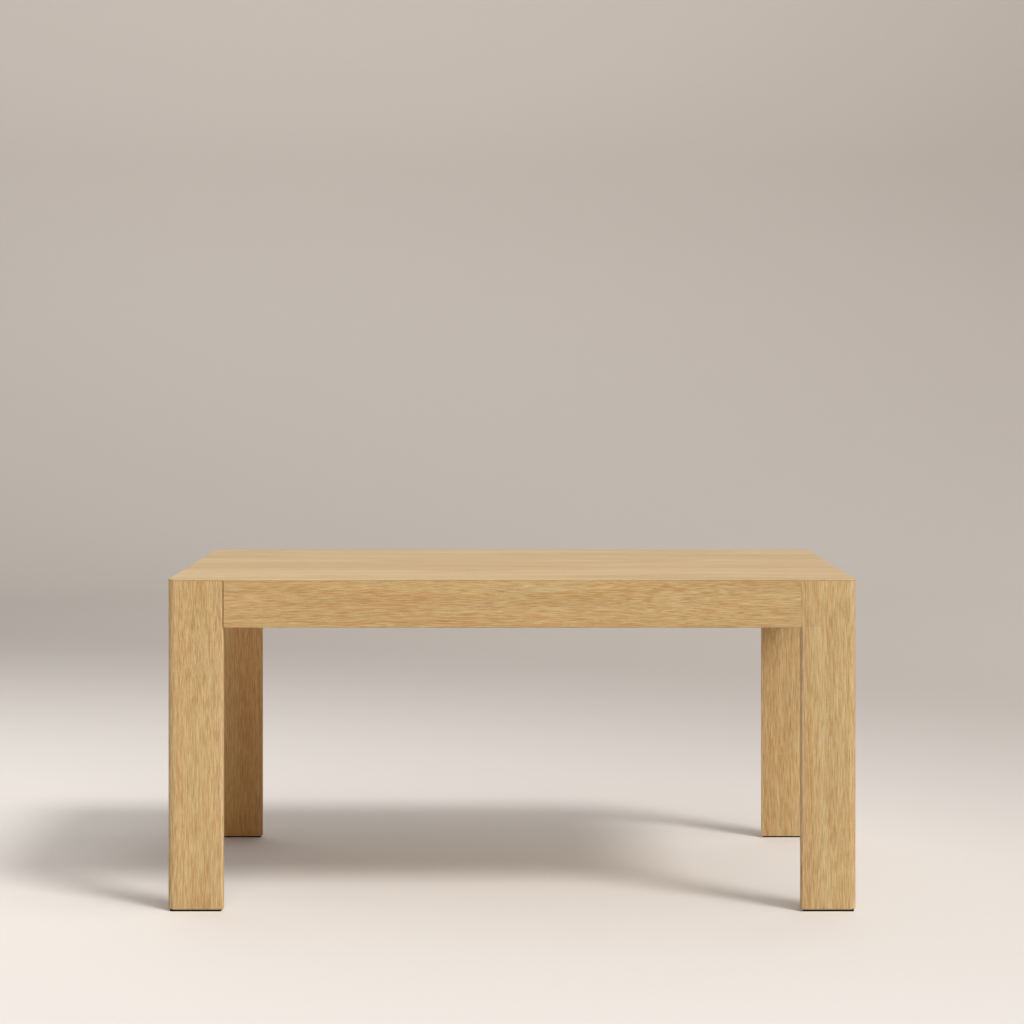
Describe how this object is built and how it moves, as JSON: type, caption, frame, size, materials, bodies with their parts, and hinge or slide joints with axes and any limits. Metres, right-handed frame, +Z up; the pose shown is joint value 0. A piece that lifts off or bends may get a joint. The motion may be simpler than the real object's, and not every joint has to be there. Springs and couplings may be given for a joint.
{
  "type": "extending dining table",
  "caption": "Oak dining table with flat board legs and a one-piece top; an end frame slides out on runners and carries a folded leaf.",
  "frame": {"origin": "on the floor, under the middle of the closed table top", "axes": "+X to the right along the table's length, +Y to the rear, +Z up; the end frame slides out along -X"},
  "size_m": [1.6, 0.9, 0.772],
  "materials": {
    "oak_top": "satin oiled oak",
    "oak_frame": "satin oiled oak",
    "beech": "plain planed hardwood",
    "zinc_steel": "bright zinc plate",
    "brass": "satin",
    "black_glide": "matt",
    "black_knob": "satin",
    "felt": "pressed felt"
  },
  "bodies": {
    "main_frame": {"table_top": "oak_top", "apron_front": "oak_frame", "apron_rear": "oak_frame", "apron_right": "oak_frame", "leg_front_right": "oak_frame", "leg_rear_right": "oak_frame", "batten_front": "beech", "batten_rear": "beech", "batten_right": "beech", "corner_blocks_main": "beech", "cross_rail_left": "beech", "cross_rail_lock": "beech", "cross_rail_top": "beech", "apron_dowels_main": "beech", "runner_outer_front": "zinc_steel", "runner_outer_rear": "zinc_steel", "runner_screws_main": "zinc_steel", "top_screws": "zinc_steel", "lock_bush": "brass", "glides_main": "black_glide"},
    "end_frame": {"apron_left": "oak_frame", "leg_front_left": "oak_frame", "leg_rear_left": "oak_frame", "apron_dowels_end": "beech", "glides_end": "black_glide", "beam_front": "beech", "beam_rear": "beech", "beam_packers": "beech", "beam_bolts": "zinc_steel", "corner_blocks_end": "beech", "batten_left": "beech", "carriage_rail_outer": "beech", "carriage_rail_inner": "beech", "carriage_rail_end": "beech", "carriage_screws": "zinc_steel", "runner_inner_front": "zinc_steel", "runner_inner_rear": "zinc_steel", "runner_screws_end": "zinc_steel", "leaf_half_lower": "oak_top", "leaf_half_upper": "oak_top", "leaf_hinge_plates": "brass", "leaf_hinge_links": "brass", "leaf_hinge_pins": "brass", "leaf_hinge_screws": "brass", "leaf_pads": "felt", "leaf_cleats": "beech"},
    "runner_middle_front": {"runner_middle_front": "zinc_steel"},
    "runner_middle_rear": {"runner_middle_rear": "zinc_steel"},
    "outer_cage_front": {"outer_ball_cage_front": "zinc_steel"},
    "outer_cage_rear": {"outer_ball_cage_rear": "zinc_steel"},
    "inner_cage_front": {"inner_ball_cage_front": "zinc_steel"},
    "inner_cage_rear": {"inner_ball_cage_rear": "zinc_steel"},
    "lock": {"lock_plunger": "zinc_steel", "lock_knob": "black_knob"}
  },
  "joints": [
    {"name": "end_frame_slide", "type": "slide", "parent": "main_frame", "child": "end_frame", "axis": [-1, 0, 0], "range_m": [0, 0.4]},
    {"name": "front_middle_slide", "type": "slide", "parent": "main_frame", "child": "runner_middle_front", "axis": [-1, 0, 0], "range_m": [0, 0.2]},
    {"name": "rear_middle_slide", "type": "slide", "parent": "main_frame", "child": "runner_middle_rear", "axis": [-1, 0, 0], "range_m": [0, 0.2]},
    {"name": "front_outer_cage_slide", "type": "slide", "parent": "main_frame", "child": "outer_cage_front", "axis": [-1, 0, 0], "range_m": [0, 0.1]},
    {"name": "rear_outer_cage_slide", "type": "slide", "parent": "main_frame", "child": "outer_cage_rear", "axis": [-1, 0, 0], "range_m": [0, 0.1]},
    {"name": "front_inner_cage_slide", "type": "slide", "parent": "main_frame", "child": "inner_cage_front", "axis": [-1, 0, 0], "range_m": [0, 0.3]},
    {"name": "rear_inner_cage_slide", "type": "slide", "parent": "main_frame", "child": "inner_cage_rear", "axis": [-1, 0, 0], "range_m": [0, 0.3]},
    {"name": "lock_lift", "type": "slide", "parent": "main_frame", "child": "lock", "axis": [0, 0, 1], "range_m": [0, 0.012]}
  ],
  "couplings": [
    {"joint": "front_middle_slide", "follows": "end_frame_slide", "ratio": 0.5},
    {"joint": "rear_middle_slide", "follows": "end_frame_slide", "ratio": 0.5},
    {"joint": "front_outer_cage_slide", "follows": "end_frame_slide", "ratio": 0.25},
    {"joint": "rear_outer_cage_slide", "follows": "end_frame_slide", "ratio": 0.25},
    {"joint": "front_inner_cage_slide", "follows": "end_frame_slide", "ratio": 0.75},
    {"joint": "rear_inner_cage_slide", "follows": "end_frame_slide", "ratio": 0.75}
  ]
}
